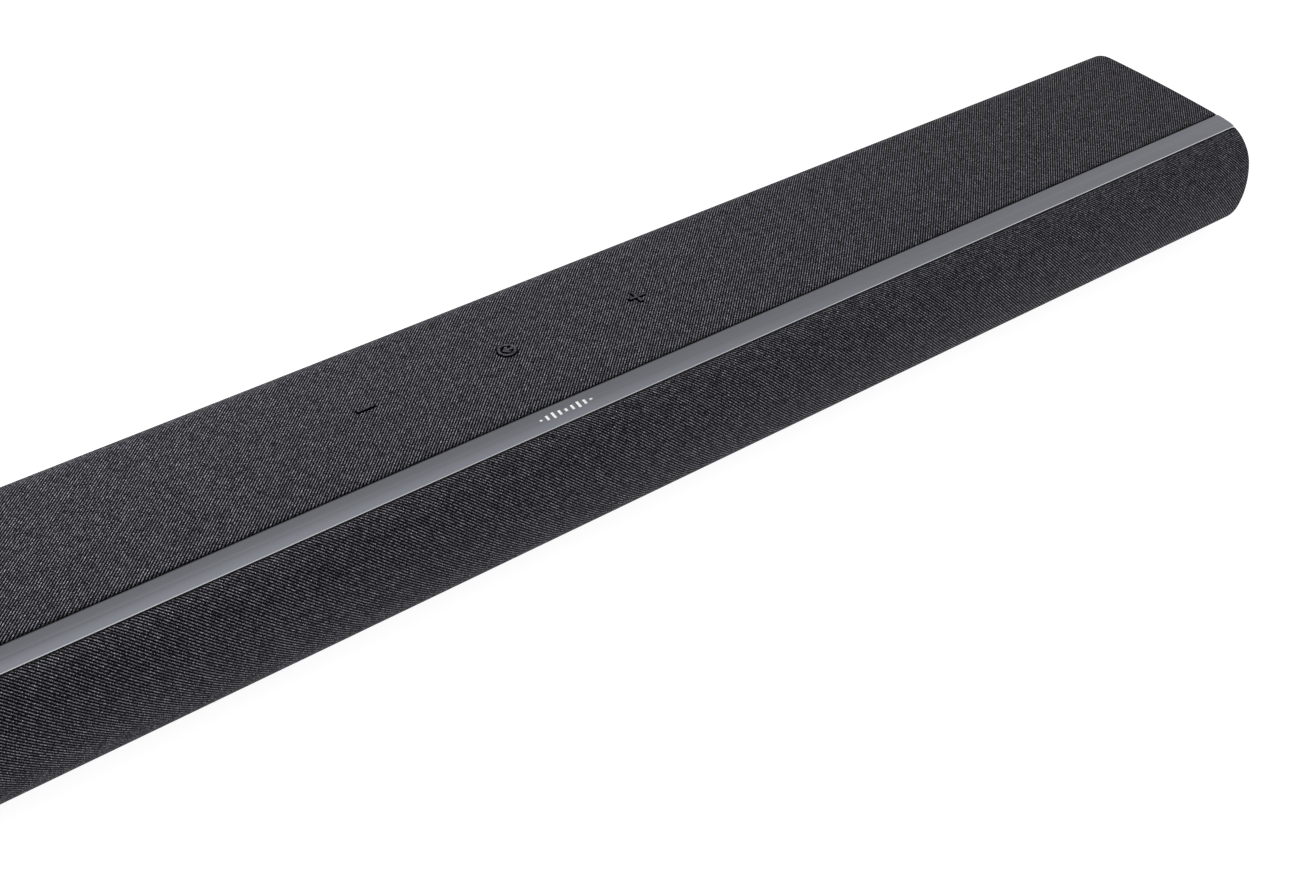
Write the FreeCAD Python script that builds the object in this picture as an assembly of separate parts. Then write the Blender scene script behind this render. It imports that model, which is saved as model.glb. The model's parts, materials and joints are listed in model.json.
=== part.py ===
import FreeCAD, Part
import math
import os

# Soundbar, 860 x 125 x 65 mm, lengths in millimetres.
# Origin: centre of the footprint, at the level of the rubber feet.
# +X runs along the bar to the listener's right, -Y faces the listener, +Z is up.

V = FreeCAD.Vector
X_AXIS, Y_AXIS, Z_AXIS = V(1, 0, 0), V(0, 1, 0), V(0, 0, 1)

# ---- driving dimensions -------------------------------------------------------------
LENGTH = 860.0
DEPTH = 125.0
HEIGHT = 65.0
FOOT_PROUD = 2.0            # the feet lift the housing off the shelf
CLOTH = 0.8                 # thickness of the cloth skins
WALL = 2.5                  # thickness of the plastic shells
GLUE = 0.05                 # film of air between cloth and shell
STRIP_T = 1.6               # thickness of the metal trim strip
END_CAP_T = 2.6
CAP_SETBACK = 0.4           # the end caps stop this far inside the cloth's ends

# Cross-section, as arcs in the YZ plane: (y, z) of a centre and its radius.
CROWN_R, CROWN_Y = 1200.0, 12.0
FRONT_R, FRONT_Z = 54.0, 32.5
FRONT_TOP_R, FRONT_BOTTOM_R = 24.0, 23.0
BACK_TOP_R, BACK_BOTTOM_R = 18.0, 6.0

STRIP_TOP_Y = -33.5         # where the strip's upper edge lies on the crown
STRIP_LOW_DEG = 109.4       # where its lower edge lies on the front-top arc
STRIP_CHAMFER = 0.5         # leg of the chamfer on its lower edge
PART_LINE_Z = 40.0          # back: cloth above, bare housing below
PART_LINE_Y = -36.0         # underside: cloth in front, bare housing behind
SEAM = 0.15                 # gap beside the strip and at the part lines

# Rib that locates the strip in a groove of the top cover, measured up from the strip's lower edge
RIB_FROM, RIB_TO, RIB_PROUD = 4.5, 7.5, 1.4

# Keys on the top
KEY_PITCH, KEY_Y = 71.0, 9.0
KEY_R, KEY_FLANGE_R = 6.0, 7.6
KEY_PROUD = 0.7             # the marks stand this much above the cloth
MARK_STROKE, MARK_SIZE, RING_R = 1.2, 8.2, 4.3
MARK_GAP = 0.2              # clearance between a mark and the cloth round it
ARROW_TIP, ARROW_TAIL = -1.4, 3.9           # the source mark's arrow, from the key's axis
ARROW_ARM, ARROW_TURN = 3.0, 45.0

# Loudspeakers behind the front cloth
WOOFER_X = (-340.0, -200.0, 200.0, 340.0)
TWEETER_X = (-270.0, 0.0, 270.0)
DRIVER_Z = 32.0
BAFFLE_FRONT, BAFFLE_T = -46.0, 3.0
WOOFER_LEN, WOOFER_TALL = 80.0, 44.0
DOME_R, TWEETER_FACE_R = 12.5, 22.0

# Connector bay at the rear
BAY_HALF, BAY_TOP, BAY_WALL_Y = 80.0, 32.0, 42.0
BAY_ROUND, MOUTH_CHAMFER = 3.0, 0.8         # its inner corners, and the edge of its mouth
INLET_X, HDMI_X, OPTICAL_X = 55.0, 5.0, -35.0
PLATE_X, PLATE_Z, PLATE_DEEP = (-205.0, -115.0), (13.0, 33.0), 0.4     # recess for a rating plate

# Fixings
INSERT_X, INSERT_Z, INSERT_R, THREAD_R, INSERT_LEN = 250.0, 22.0, 3.6, 2.5, 12.0
FOOT_X, FOOT_Y, FOOT_R, FOOT_SUNK = 330.0, (-24.0, 46.0), 9.0, 1.0
SCREW_X, SCREW_Y = (-412.0, -265.0, -118.0, 118.0, 265.0, 412.0), 28.0
SCREW_SEAT_Z = 6.5          # height of the housing screws' heads inside their wells
POST_X = 95.0               # posts that hold the button board, each side of the keys

# Circuit boards
BOARD_Z, BOARD_T = 10.0, 1.6
BOARD_POSTS, BOARD_POST_Y = (-84.0, 84.0, 150.0, 236.0), (-4.0, 32.0)
BUTTON_BOARD_TOP, BUTTON_BOARD_T, SWITCH_TOP = 53.0, 1.2, 56.4

HALF = LENGTH / 2
SHELL_HALF = HALF - CAP_SETBACK - END_CAP_T      # shells stop here; the end caps close them
COVER_UNDER = HEIGHT - CLOTH - GLUE - WALL       # underside of the top cover at its crown
BURIED = 0.85               # how far a boss runs into the wall it grows from

os.makedirs("parts", exist_ok=True)


# ---- cross-section ------------------------------------------------------------------
def polar(centre, radius, degrees):
    a = math.radians(degrees)
    return (centre[0] + radius * math.cos(a), centre[1] + radius * math.sin(a))


def heading(a, b):
    """Direction from a to b in degrees, counter-clockwise from +Y."""
    return math.degrees(math.atan2(b[1] - a[1], b[0] - a[0]))


def meet(c1, r1, c2, r2):
    """The point at r1 from c1 and r2 from c2 that lies nearer the front."""
    gap = math.dist(c1, c2)
    along = (gap * gap + r1 * r1 - r2 * r2) / (2 * gap)
    off = math.sqrt(r1 * r1 - along * along)
    uy, uz = (c2[0] - c1[0]) / gap, (c2[1] - c1[1]) / gap
    base = (c1[0] + along * uy, c1[1] + along * uz)
    return min((base[0] - off * uz, base[1] + off * uy), (base[0] + off * uz, base[1] - off * uy))


CROWN = (CROWN_Y, HEIGHT - CROWN_R)
FRONT = (FRONT_R - DEPTH / 2, FRONT_Z)
FRONT_TOP = meet(CROWN, CROWN_R - FRONT_TOP_R, FRONT, FRONT_R - FRONT_TOP_R)
FRONT_BOTTOM_Z = FOOT_PROUD + FRONT_BOTTOM_R
FRONT_BOTTOM = (
    FRONT[0] - math.sqrt((FRONT_R - FRONT_BOTTOM_R) ** 2 - (FRONT_Z - FRONT_BOTTOM_Z) ** 2),
    FRONT_BOTTOM_Z,
)
BACK_TOP_Y = DEPTH / 2 - BACK_TOP_R
BACK_TOP = (
    BACK_TOP_Y,
    CROWN[1] + math.sqrt((CROWN_R - BACK_TOP_R) ** 2 - (BACK_TOP_Y - CROWN_Y) ** 2),
)
STRIP_TOP_DEG = math.degrees(math.acos((STRIP_TOP_Y - CROWN_Y) / CROWN_R))


def outline(inset):
    """Closed wire of the bar's cross-section, `inset` inside its outer skin."""
    corner = max(BACK_BOTTOM_R - inset, 0.6)
    low = (DEPTH / 2 - inset - corner, FOOT_PROUD + inset + corner)
    crown_back = heading(CROWN, BACK_TOP)
    crown_front = heading(CROWN, FRONT_TOP)
    front_top = heading(FRONT, FRONT_TOP)
    front_bottom = heading(FRONT, FRONT_BOTTOM) % 360
    arcs = [
        (low, corner, -90, 0),
        (BACK_TOP, BACK_TOP_R - inset, 0, crown_back),
        (CROWN, CROWN_R - inset, crown_back, crown_front),
        (FRONT_TOP, FRONT_TOP_R - inset, crown_front, front_top),
        (FRONT, FRONT_R - inset, front_top, front_bottom),
        (FRONT_BOTTOM, FRONT_BOTTOM_R - inset, front_bottom, 270),
    ]
    edges = []
    for i, (centre, radius, start, stop) in enumerate(arcs):
        p = [V(0, *polar(centre, radius, t)) for t in (start, (start + stop) / 2, stop)]
        edges.append(Part.Arc(*p).toShape())
        following = arcs[(i + 1) % len(arcs)]
        nxt = V(0, *polar(following[0], following[1], following[2]))
        if p[2].distanceToPoint(nxt) > 0.001:
            edges.append(Part.LineSegment(p[2], nxt).toShape())
    return Part.Wire(edges)


def prism(wire, x0, x1):
    """The wire's area, drawn in the YZ plane, run from x0 to x1."""
    solid = Part.Face(wire).extrude(V(x1 - x0, 0, 0))
    solid.translate(V(x0, 0, 0))
    return solid


def skin(outer, inner, x0, x1):
    """Hollow tube between two insets of the cross-section."""
    return prism(outline(outer), x0, x1).cut(prism(outline(inner), x0 - 1, x1 + 1))


def zone(points):
    """A slab through the whole bar with the given YZ corners."""
    return prism(Part.makePolygon([V(0, y, z) for y, z in points + points[:1]]), -HALF - 5, HALF + 5)


def crown_cut(shift, near, far):
    """Two points on the line square to the skin at the strip's upper edge."""
    angle = STRIP_TOP_DEG - math.degrees(shift / CROWN_R)
    return polar(CROWN, CROWN_R - near, angle), polar(CROWN, CROWN_R + far, angle)


def front_cut(shift, near, far):
    """Two points on the line square to the skin at the strip's lower edge."""
    angle = STRIP_LOW_DEG + math.degrees(shift / FRONT_TOP_R)
    return polar(FRONT_TOP, FRONT_TOP_R - near, angle), polar(FRONT_TOP, FRONT_TOP_R + far, angle)


def top_zone(gap):
    """Everything behind the strip and above the rear part line."""
    inner, outer = crown_cut(gap, 25, 20)
    low = PART_LINE_Z + gap
    return zone([inner, outer, (80, 90), (80, low), (40, low)])


def front_zone(gap):
    """Everything below the strip and in front of the underside part line."""
    inner, outer = front_cut(gap, 18, 20)
    back = PART_LINE_Y - gap
    return zone([inner, outer, (-90, 80), (-90, -10), (back, -10), (back, 30)])


def strip_zone(grow=0.0):
    upper, lower = crown_cut(grow, 12, 6), front_cut(grow, 12, 6)
    return zone([upper[0], upper[1], lower[1], lower[0]])


def housing_zone(gap):
    low, high = PART_LINE_Y + gap, PART_LINE_Z - gap
    return zone([(low, -5), (80, -5), (80, high), (50, high), (50, 15), (low, 15)])


# ---- small helpers ------------------------------------------------------------------
def box(x0, x1, y0, y1, z0, z1):
    return Part.makeBox(x1 - x0, y1 - y0, z1 - z0, V(x0, y0, z0))


def rod(radius, start, length, axis):
    return Part.makeCylinder(radius, length, start, axis)


def mirror_x(xs):
    return [sign * x for x in xs for sign in (-1, 1)]


def save(name, shape, expected=None):
    """Write one node; a group of loose pieces is kept as separate solids."""
    solids = shape.Solids
    if expected is not None and len(solids) != expected:
        raise ValueError("%s has %d solids, not %d" % (name, len(solids), expected))
    if not all(s.isValid() and s.Volume > 0 for s in solids):
        raise ValueError(name + " is not valid")
    if len(solids) == 1:
        shape = solids[0]
    else:
        shape = Part.makeCompound(solids)
    shape.exportStep("parts/" + name + ".step")
    print("%-24s %2d solid(s) %10.1f mm3" % (name, len(solids), shape.Volume))


def spin(points, centre, turn=360):
    """Solid of revolution about the Y axis direction through centre: (radius, y) corners."""
    wire = Part.makePolygon([V(centre[0] + r, y, centre[1]) for r, y in points + points[:1]])
    return Part.Face(wire).revolve(V(centre[0], 0, centre[1]), Y_AXIS, turn)


def racetrack(points, x, straight):
    """A (radius, y) section carried round a racetrack whose straights are `straight` long."""
    half = straight / 2
    pieces = []
    for sign in (-1, 1):
        wire = Part.makePolygon([V(x + sign * half, y, DRIVER_Z - r) for r, y in points + points[:1]])
        axis = V(0, sign, 0)
        end = Part.Face(wire).revolve(V(x + sign * half, 0, DRIVER_Z), axis, -180)
        pieces.append(end)
        side = Part.makePolygon(
            [V(x - half, y, DRIVER_Z + sign * r) for r, y in points + points[:1]]
        )
        pieces.append(Part.Face(side).extrude(V(straight, 0, 0)))
    return pieces[0].multiFuse(pieces[1:]).removeSplitter()


# ---- casing -------------------------------------------------------------------------
def mark(kind, x, grow, z0, z1):
    """The raised mark of a key as an upright solid; grow widens every stroke."""
    half, stroke = MARK_SIZE / 2 + grow, MARK_STROKE / 2 + grow
    flat = box(x - half, x + half, KEY_Y - stroke, KEY_Y + stroke, z0, z1)
    if kind == "minus":
        return flat
    if kind == "plus":
        upright = box(x - stroke, x + stroke, KEY_Y - half, KEY_Y + half, z0, z1)
        return flat.fuse(upright).removeSplitter()
    ring = rod(RING_R + grow, V(x, KEY_Y, z0), z1 - z0, Z_AXIS)
    ring = ring.cut(rod(RING_R - MARK_STROKE - grow, V(x, KEY_Y, z0), z1 - z0, Z_AXIS))
    tip = x + ARROW_TIP
    arrow = [box(tip, x + ARROW_TAIL, KEY_Y - stroke, KEY_Y + stroke, z0, z1)]
    for turn in (-ARROW_TURN, ARROW_TURN):
        arm = box(tip - stroke, tip + ARROW_ARM + grow, KEY_Y - stroke, KEY_Y + stroke, z0, z1)
        arm.rotate(V(tip, KEY_Y, z0), Z_AXIS, turn)
        arrow.append(arm)
    return ring.multiFuse(arrow).removeSplitter()


KEYS = (("minus", -KEY_PITCH), ("source", 0.0), ("plus", KEY_PITCH))


def make_cloth():
    above = 2.0                                   # the cutters pass right through the cloth
    top = skin(0, CLOTH, -HALF, HALF).common(top_zone(SEAM))
    for kind, x in KEYS:
        top = top.cut(mark(kind, x, MARK_GAP, HEIGHT - CLOTH - above, HEIGHT + above))
    # the cloth inside the source key's ring is cut free and is glued to that key
    solids = sorted(top.Solids, key=lambda s: -s.Volume)
    save("top_fabric", solids[0], 1)
    save("source_key_inlay", Part.makeCompound(solids[1:]))
    front = skin(0, CLOTH, -HALF, HALF).common(front_zone(SEAM))
    save("front_fabric", front, 1)


def rib_zone(spare):
    """Where the strip's locating rib runs; spare widens it each side."""
    low, high = front_cut(-RIB_FROM + spare, 12, 6), front_cut(-RIB_TO - spare, 12, 6)
    return zone([low[0], low[1], high[1], high[0]])


def make_strip():
    body = skin(0, STRIP_T, -HALF, HALF).common(strip_zone())
    lap = 0.2                                     # the rib starts this far inside the strip
    short = 2.0                                   # and stops this far from the shells' ends
    rib = skin(STRIP_T - lap, STRIP_T + RIB_PROUD, -SHELL_HALF + short, SHELL_HALF - short)
    edge = polar(FRONT_TOP, FRONT_TOP_R, STRIP_LOW_DEG)
    a = math.radians(STRIP_LOW_DEG)
    out, down = (math.cos(a), math.sin(a)), (-math.sin(a), math.cos(a))
    over = 0.3                                    # the chamfer's cutter overshoots both faces
    corner = [
        (edge[0] + p * out[0] + q * down[0], edge[1] + p * out[1] + q * down[1])
        for p, q in ((over, over), (over, -STRIP_CHAMFER - over), (-STRIP_CHAMFER - over, over))
    ]
    body = body.fuse(rib.common(rib_zone(0))).cut(zone(corner))
    save("trim_strip", body.removeSplitter(), 1)


def make_top_cover():
    boss_foot, boss_r, pilot_r, pilot_top = 14.0, 4.0, 1.5, 28.0
    post_r, post_pilot_r, post_pilot_top = 3.0, 1.0, 58.5
    spare = 0.2
    shell = skin(CLOTH + GLUE, CLOTH + GLUE + WALL, -SHELL_HALF, SHELL_HALF).common(top_zone(0))
    under = skin(STRIP_T + GLUE, STRIP_T + GLUE + WALL, -SHELL_HALF, SHELL_HALF)
    shell = shell.fuse(under.common(strip_zone()))
    groove = skin(STRIP_T - spare, STRIP_T + RIB_PROUD + spare / 2, -SHELL_HALF - 1, SHELL_HALF + 1)
    shell = shell.cut(groove.common(rib_zone(spare)))
    top = COVER_UNDER + BURIED
    posts = [rod(boss_r, V(x, SCREW_Y, boss_foot), top - boss_foot, Z_AXIS) for x in SCREW_X]
    posts += [rod(post_r, V(x, KEY_Y, BUTTON_BOARD_TOP + 0.2), top - BUTTON_BOARD_TOP - 0.2, Z_AXIS)
              for x in mirror_x([POST_X])]
    holes = [rod(pilot_r, V(x, SCREW_Y, boss_foot - 1), pilot_top - boss_foot + 1, Z_AXIS)
             for x in SCREW_X]
    holes += [rod(post_pilot_r, V(x, KEY_Y, BUTTON_BOARD_TOP - 1), post_pilot_top - BUTTON_BOARD_TOP + 1,
                  Z_AXIS) for x in mirror_x([POST_X])]
    holes += [rod(KEY_R + 0.25, V(x, KEY_Y, COVER_UNDER - 1), WALL + CLOTH + 2, Z_AXIS) for kind, x in KEYS]
    shell = shell.multiFuse(posts).cut(Part.makeCompound(holes))
    save("top_cover", shell.removeSplitter(), 1)


def make_front_grille():
    columns, pitch, wide = 20, 41.0, 37.0
    rows, row_pitch, tall, lowest = 3, 14.0, 11.0, 13.0
    shell = skin(CLOTH + GLUE, CLOTH + GLUE + WALL, -SHELL_HALF, SHELL_HALF).common(front_zone(0.1))
    windows = []
    for i in range(columns):
        x = (i - columns / 2) * pitch + (pitch - wide) / 2
        for k in range(rows):
            z = lowest + k * row_pitch
            windows.append(box(x, x + wide, -70, -45, z, z + tall))
    save("front_grille", shell.cut(Part.makeCompound(windows)), 1)


def foot_places():
    return [V(x, y, 0) for x in mirror_x([FOOT_X]) for y in FOOT_Y]


def board_post_places():
    return [V(x, y, 0) for x in BOARD_POSTS for y in BOARD_POST_Y]


def bay_mouth(y0, y1):
    """Cutter that widens the bay at 45 degrees on each side and above, from y0 out to y1."""
    grow, low = y1 - y0, -1
    sides = [V(-BAY_HALF, y0, low), V(BAY_HALF, y0, low), V(BAY_HALF + grow, y1, low),
             V(-BAY_HALF - grow, y1, low)]
    wedge = Part.Face(Part.makePolygon(sides + sides[:1])).extrude(V(0, 0, BAY_TOP + grow - low))
    return wedge.common(zone([(y0, low), (y0, BAY_TOP), (y1, BAY_TOP + grow), (y1, low)]))


def make_rear_housing():
    """Tub with the connector bay, wall-bracket bosses, foot pads, screw wells and board posts."""
    back = DEPTH / 2
    floor = FOOT_PROUD + WALL
    well_top = 13.8                               # the screw wells meet the top cover's bosses
    grown = [box(-BAY_HALF - WALL, BAY_HALF + WALL, BAY_WALL_Y - WALL, back - 1.5, 3, BAY_TOP + WALL)]
    cut = []
    for x in mirror_x([INSERT_X]):
        grown.append(rod(INSERT_R + 2.9, V(x, back - 1, INSERT_Z), INSERT_LEN + 1, -Y_AXIS))
        cut.append(rod(INSERT_R, V(x, back + 1.5, INSERT_Z), INSERT_LEN + 1.5, -Y_AXIS))
    for place in foot_places():
        grown.append(rod(FOOT_R + 2.5, place + V(0, 0, floor - 1.3), FOOT_SUNK + 1.3, Z_AXIS))
        cut.append(rod(FOOT_R + 0.1, place + V(0, 0, FOOT_PROUD - 1), FOOT_SUNK + 1, Z_AXIS))
    for x in SCREW_X:
        grown.append(rod(4.5, V(x, SCREW_Y, floor - 0.5), well_top - floor + 0.5, Z_AXIS))
        cut.append(rod(1.7, V(x, SCREW_Y, FOOT_PROUD - 1), well_top, Z_AXIS))
        cut.append(rod(3.3, V(x, SCREW_Y, FOOT_PROUD - 1), SCREW_SEAT_Z - FOOT_PROUD + 1, Z_AXIS))
    for place in board_post_places():
        grown.append(rod(2.5, place + V(0, 0, floor - 0.5), BOARD_Z - floor + 0.5, Z_AXIS))
        cut.append(rod(1.1, place + V(0, 0, floor + 0.5), BOARD_Z, Z_AXIS))
    bay = box(-BAY_HALF, BAY_HALF, BAY_WALL_Y, back + 8, -1, BAY_TOP)
    inner = [e for e in bay.Edges if abs(e.BoundBox.YMax - BAY_WALL_Y) < 0.01 and e.BoundBox.ZMax > 0]
    cut.append(bay.makeFillet(BAY_ROUND, inner))
    cut.append(bay_mouth(back - MOUTH_CHAMFER, back + 1))
    cut.append(box(*PLATE_X, back - PLATE_DEEP, back + 1, *PLATE_Z))
    shell = skin(0, WALL, -SHELL_HALF, SHELL_HALF).common(housing_zone(0))
    shell = shell.multiFuse(grown).cut(cut + socket_holes())
    save("rear_housing", shell.removeSplitter(), 1)


def make_end_caps():
    rim_outer, rim_inner, rim_deep = 4.4, 6.2, 7.0
    x0, x1 = SHELL_HALF, SHELL_HALF + END_CAP_T
    plate = prism(outline(CLOTH + GLUE), x0, x1)
    plate = plate.fuse(prism(outline(0), x0, x1).common(housing_zone(SEAM)))
    plate = plate.cut(skin(-1, STRIP_T + GLUE, x0 - 1, x1 + 1).common(strip_zone(0.1)))
    rim = skin(rim_outer, rim_inner, x0 - rim_deep, x0 + 0.5)
    rim = rim.cut(box(x0 - 30, x0 + 10, SCREW_Y - 7, SCREW_Y + 7, 0, HEIGHT + 5))
    cap = plate.fuse(rim).removeSplitter()
    save("right_end_cap", cap, 1)
    save("left_end_cap", cap.mirror(V(0, 0, 0), X_AXIS), 1)


def make_feet():
    feet = []
    for place in foot_places():
        foot = rod(FOOT_R, place, FOOT_PROUD + FOOT_SUNK, Z_AXIS)
        rim = [e for e in foot.Edges if abs(e.BoundBox.ZMax) < 0.01]
        feet.append(foot.makeFillet(0.6, rim))
    save("rubber_feet", Part.makeCompound(feet), 4)


# ---- loudspeakers -------------------------------------------------------------------
BAFFLE_BACK = BAFFLE_FRONT + BAFFLE_T
GASKET_T = 0.8
WOOFER_SEAT = BAFFLE_BACK + GASKET_T             # front of the woofers' flanges
WOOFER_RIM = WOOFER_TALL / 2
WOOFER_STRAIGHT = WOOFER_LEN - WOOFER_TALL
BASKET_END = WOOFER_SEAT + 17.0                  # back of the basket
FLANGE_T, FACE_T = 1.5, 2.0                      # woofer flange, tweeter faceplate
CONE_LIP, CONE_BOWL = WOOFER_SEAT - 1.0, WOOFER_SEAT + 9.0
PAPER = 0.8                                      # depth of the cone's paper
COIL_IN, COIL_OUT = 10.7, 11.3                   # woofer's voice coil
GAP_IN, GAP_OUT = 9.6, 12.6                      # gap in its magnet that the coil moves in
SCREW_HOLE_R, PILOT_R = 1.7, 1.1


def make_baffle():
    inset, short = 4.6, 9.0
    plate = prism(outline(inset), -SHELL_HALF + short, SHELL_HALF - short).common(
        box(-HALF, HALF, BAFFLE_FRONT, BAFFLE_BACK, 0, HEIGHT + 5)
    )
    window_r, near, far = WOOFER_RIM - 3, BAFFLE_FRONT - 1, BAFFLE_BACK + 1
    tools = [racetrack([(0, near), (window_r, near), (window_r, far), (0, far)], x, WOOFER_STRAIGHT)
             for x in WOOFER_X]
    tools += [rod(DOME_R + 4.5, V(x, near, DRIVER_Z), BAFFLE_T + 2, Y_AXIS) for x in TWEETER_X]
    tools += [rod(PILOT_R, V(p.x, near, p.z), BAFFLE_T + 2, Y_AXIS)
              for p in woofer_screw_places() + tweeter_screw_places()]
    save("baffle", plate.cut(Part.makeCompound(tools)), 1)


def four_corners(x, across, up):
    return [V(x + sx * across, 0, DRIVER_Z + sz * up) for sx in (-1, 1) for sz in (-1, 1)]


def woofer_screw_places():
    return [p for x in WOOFER_X for p in four_corners(x, WOOFER_LEN / 2 + 1.5, 15.5)]


def tweeter_screw_places():
    return [p for x in TWEETER_X for p in four_corners(x, 14.5, 13.5)]


def make_basket(name, x):
    """Racetrack bowl with a square flange, four side windows and a hole for the coil."""
    rim, front, end, wall = WOOFER_RIM, WOOFER_SEAT, BASKET_END, 1.5
    bowl = racetrack([(rim - 3.5, front), (rim, front), (rim, front + FLANGE_T),
                      (rim - 2.0, front + FLANGE_T), (rim - 2.5, end - wall), (rim - 2.5, end),
                      (0, end), (0, end - wall), (rim - 4.0, end - wall), (rim - 3.5, front + 2)],
                     x, WOOFER_STRAIGHT)
    half, tall = WOOFER_LEN / 2 + 4, WOOFER_RIM - 3
    flange = box(x - half, x + half, front, front + FLANGE_T, DRIVER_Z - tall, DRIVER_Z + tall)
    mouth = racetrack([(0, front - 1), (rim - 3.5, front - 1), (rim - 3.5, front + 2), (0, front + 2)],
                      x, WOOFER_STRAIGHT)
    tools = [rod(GAP_OUT, V(x, end - 3, DRIVER_Z), 6, Y_AXIS)]
    window_x, window_half = 24.0, 9.0
    for middle in (x - window_x, x + window_x):
        tools.append(box(middle - window_half, middle + window_half, front + 5, end - 4, 0, HEIGHT))
    tools += [rod(SCREW_HOLE_R, V(p.x, front - 1, p.z), 4, Y_AXIS)
              for p in woofer_screw_places() if abs(p.x - x) < WOOFER_LEN]
    bowl = bowl.fuse(flange.cut(mouth)).cut(Part.makeCompound(tools))
    save(name + "basket", bowl.removeSplitter(), 1)


def make_motor(name, x):
    """Magnet and pot with the ring-shaped gap that the coil moves in."""
    outer, end = 17.0, BASKET_END + 12
    magnet = spin([(GAP_OUT, BASKET_END), (outer, BASKET_END), (outer, end), (0, end), (0, BASKET_END - 4),
                   (GAP_IN, BASKET_END - 4), (GAP_IN, end - 4), (GAP_OUT, end - 4)], (x, DRIVER_Z))
    save(name + "motor", magnet, 1)


def make_cone(name, x):
    """Dished racetrack cone with the coil's former standing on its back."""
    lip, bowl, foot = CONE_LIP, CONE_BOWL, 7.0
    cone = racetrack([(15.2, lip), (15.8, lip), (16.0, lip + PAPER), (foot, bowl + PAPER), (0, bowl + PAPER),
                      (0, bowl), (foot - 0.2, bowl)], x, WOOFER_STRAIGHT)
    air = racetrack([(0, lip - 4), (22, lip - 4), (22, lip), (15.5, lip), (foot, bowl + PAPER / 2),
                     (0, bowl + PAPER / 2)], x, WOOFER_STRAIGHT)
    coil_end = BASKET_END + 5
    former = spin([(COIL_IN, lip), (COIL_OUT, lip), (COIL_OUT, coil_end), (COIL_IN, coil_end)],
                  (x, DRIVER_Z))
    cone = cone.fuse(former.cut(air)).removeSplitter()
    save(name + "cone", max(cone.Solids, key=lambda s: s.Volume), 1)


def make_suspension(name, x):
    """Half-roll surround in front, and the flat spider round the coil behind."""
    lip, seat = CONE_LIP, WOOFER_SEAT
    over = [(15.85, lip), (16.6, lip - 0.2), (17.3, lip - 1.2), (18.0, lip - 1.5), (18.5, lip - 1.2),
            (18.8, seat - 0.4), (20.5, seat - 0.4)]
    under = [(20.5, seat), (18.5, seat), (18.4, lip - 0.4), (18.0, lip - 0.7), (17.6, lip - 0.4),
             (16.8, lip + 0.6), (16.05, lip + 0.6)]
    surround = racetrack(over + under, x, WOOFER_STRAIGHT)
    inner, outer, thick, back = COIL_OUT + 0.05, 17.4, 0.4, BASKET_END - 3.6
    spider = spin([(inner, back - thick), (outer, back - thick), (outer, back), (inner, back)],
                  (x, DRIVER_Z))
    save(name + "suspension", Part.makeCompound([surround, spider]), 2)


def make_woofer(index, x):
    name = "woofer_%d_" % index
    make_basket(name, x)
    make_motor(name, x)
    make_cone(name, x)
    make_suspension(name, x)


def make_gaskets():
    inner, outer = WOOFER_RIM - 1.4, WOOFER_RIM
    front, back = BAFFLE_BACK, BAFFLE_BACK + GASKET_T
    gaskets = [racetrack([(inner, front), (outer, front), (outer, back), (inner, back)], x, WOOFER_STRAIGHT)
               for x in WOOFER_X]
    save("driver_gaskets", Part.makeCompound(gaskets), 4)


def make_tweeter(index, x):
    """Dome tweeter: ring faceplate, pot magnet, and a silk dome on its coil former."""
    name, seat = "tweeter_%d_" % index, BAFFLE_BACK
    hole = 14.0
    face = spin([(hole, seat), (TWEETER_FACE_R, seat), (TWEETER_FACE_R, seat + FACE_T),
                 (hole, seat + FACE_T)], (x, DRIVER_Z))
    tools = [rod(SCREW_HOLE_R, V(p.x, seat - 1, p.z), 4, Y_AXIS)
             for p in tweeter_screw_places() if abs(p.x - x) < TWEETER_FACE_R]
    save(name + "faceplate", face.cut(Part.makeCompound(tools)), 1)

    gap_in, gap_out, outer, end = 11.6, 13.2, 16.5, seat + 13
    motor = spin([(gap_out, seat + FACE_T), (outer, seat + FACE_T), (outer, end), (0, end),
                  (0, seat + 1.4), (gap_in, seat + 1.4), (gap_in, end - 4), (gap_out, end - 4)],
                 (x, DRIVER_Z))
    save(name + "motor", motor, 1)

    ball, silk, edge = 17.0, 0.35, seat - 0.4     # radius and skin of the dome, and where it ends
    sag = ball - math.sqrt(ball * ball - DOME_R * DOME_R)
    centre = V(x, edge - sag + ball, DRIVER_Z)
    dome = Part.makeSphere(ball, centre).cut(Part.makeSphere(ball - silk, centre))
    dome = dome.common(rod(DOME_R, V(x, edge - 9.6, DRIVER_Z), 9.6, Y_AXIS))
    former = spin([(DOME_R - silk, edge - 0.5), (DOME_R, edge - 0.5), (DOME_R, seat + 7),
                   (DOME_R - silk, seat + 7)], (x, DRIVER_Z))
    save(name + "dome", dome.fuse(former).removeSplitter(), 1)


# ---- keys ---------------------------------------------------------------------------
KEY_TOP = HEIGHT - CLOTH - 0.15              # the key's round face, just under the cloth
FLANGE_TOP, FLANGE_DEEP = COVER_UNDER - 0.25, 1.2
PLUNGER_R, PLUNGER_SUNK, PLUNGER_LEN = 1.4, 1.6, 2.7


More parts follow.
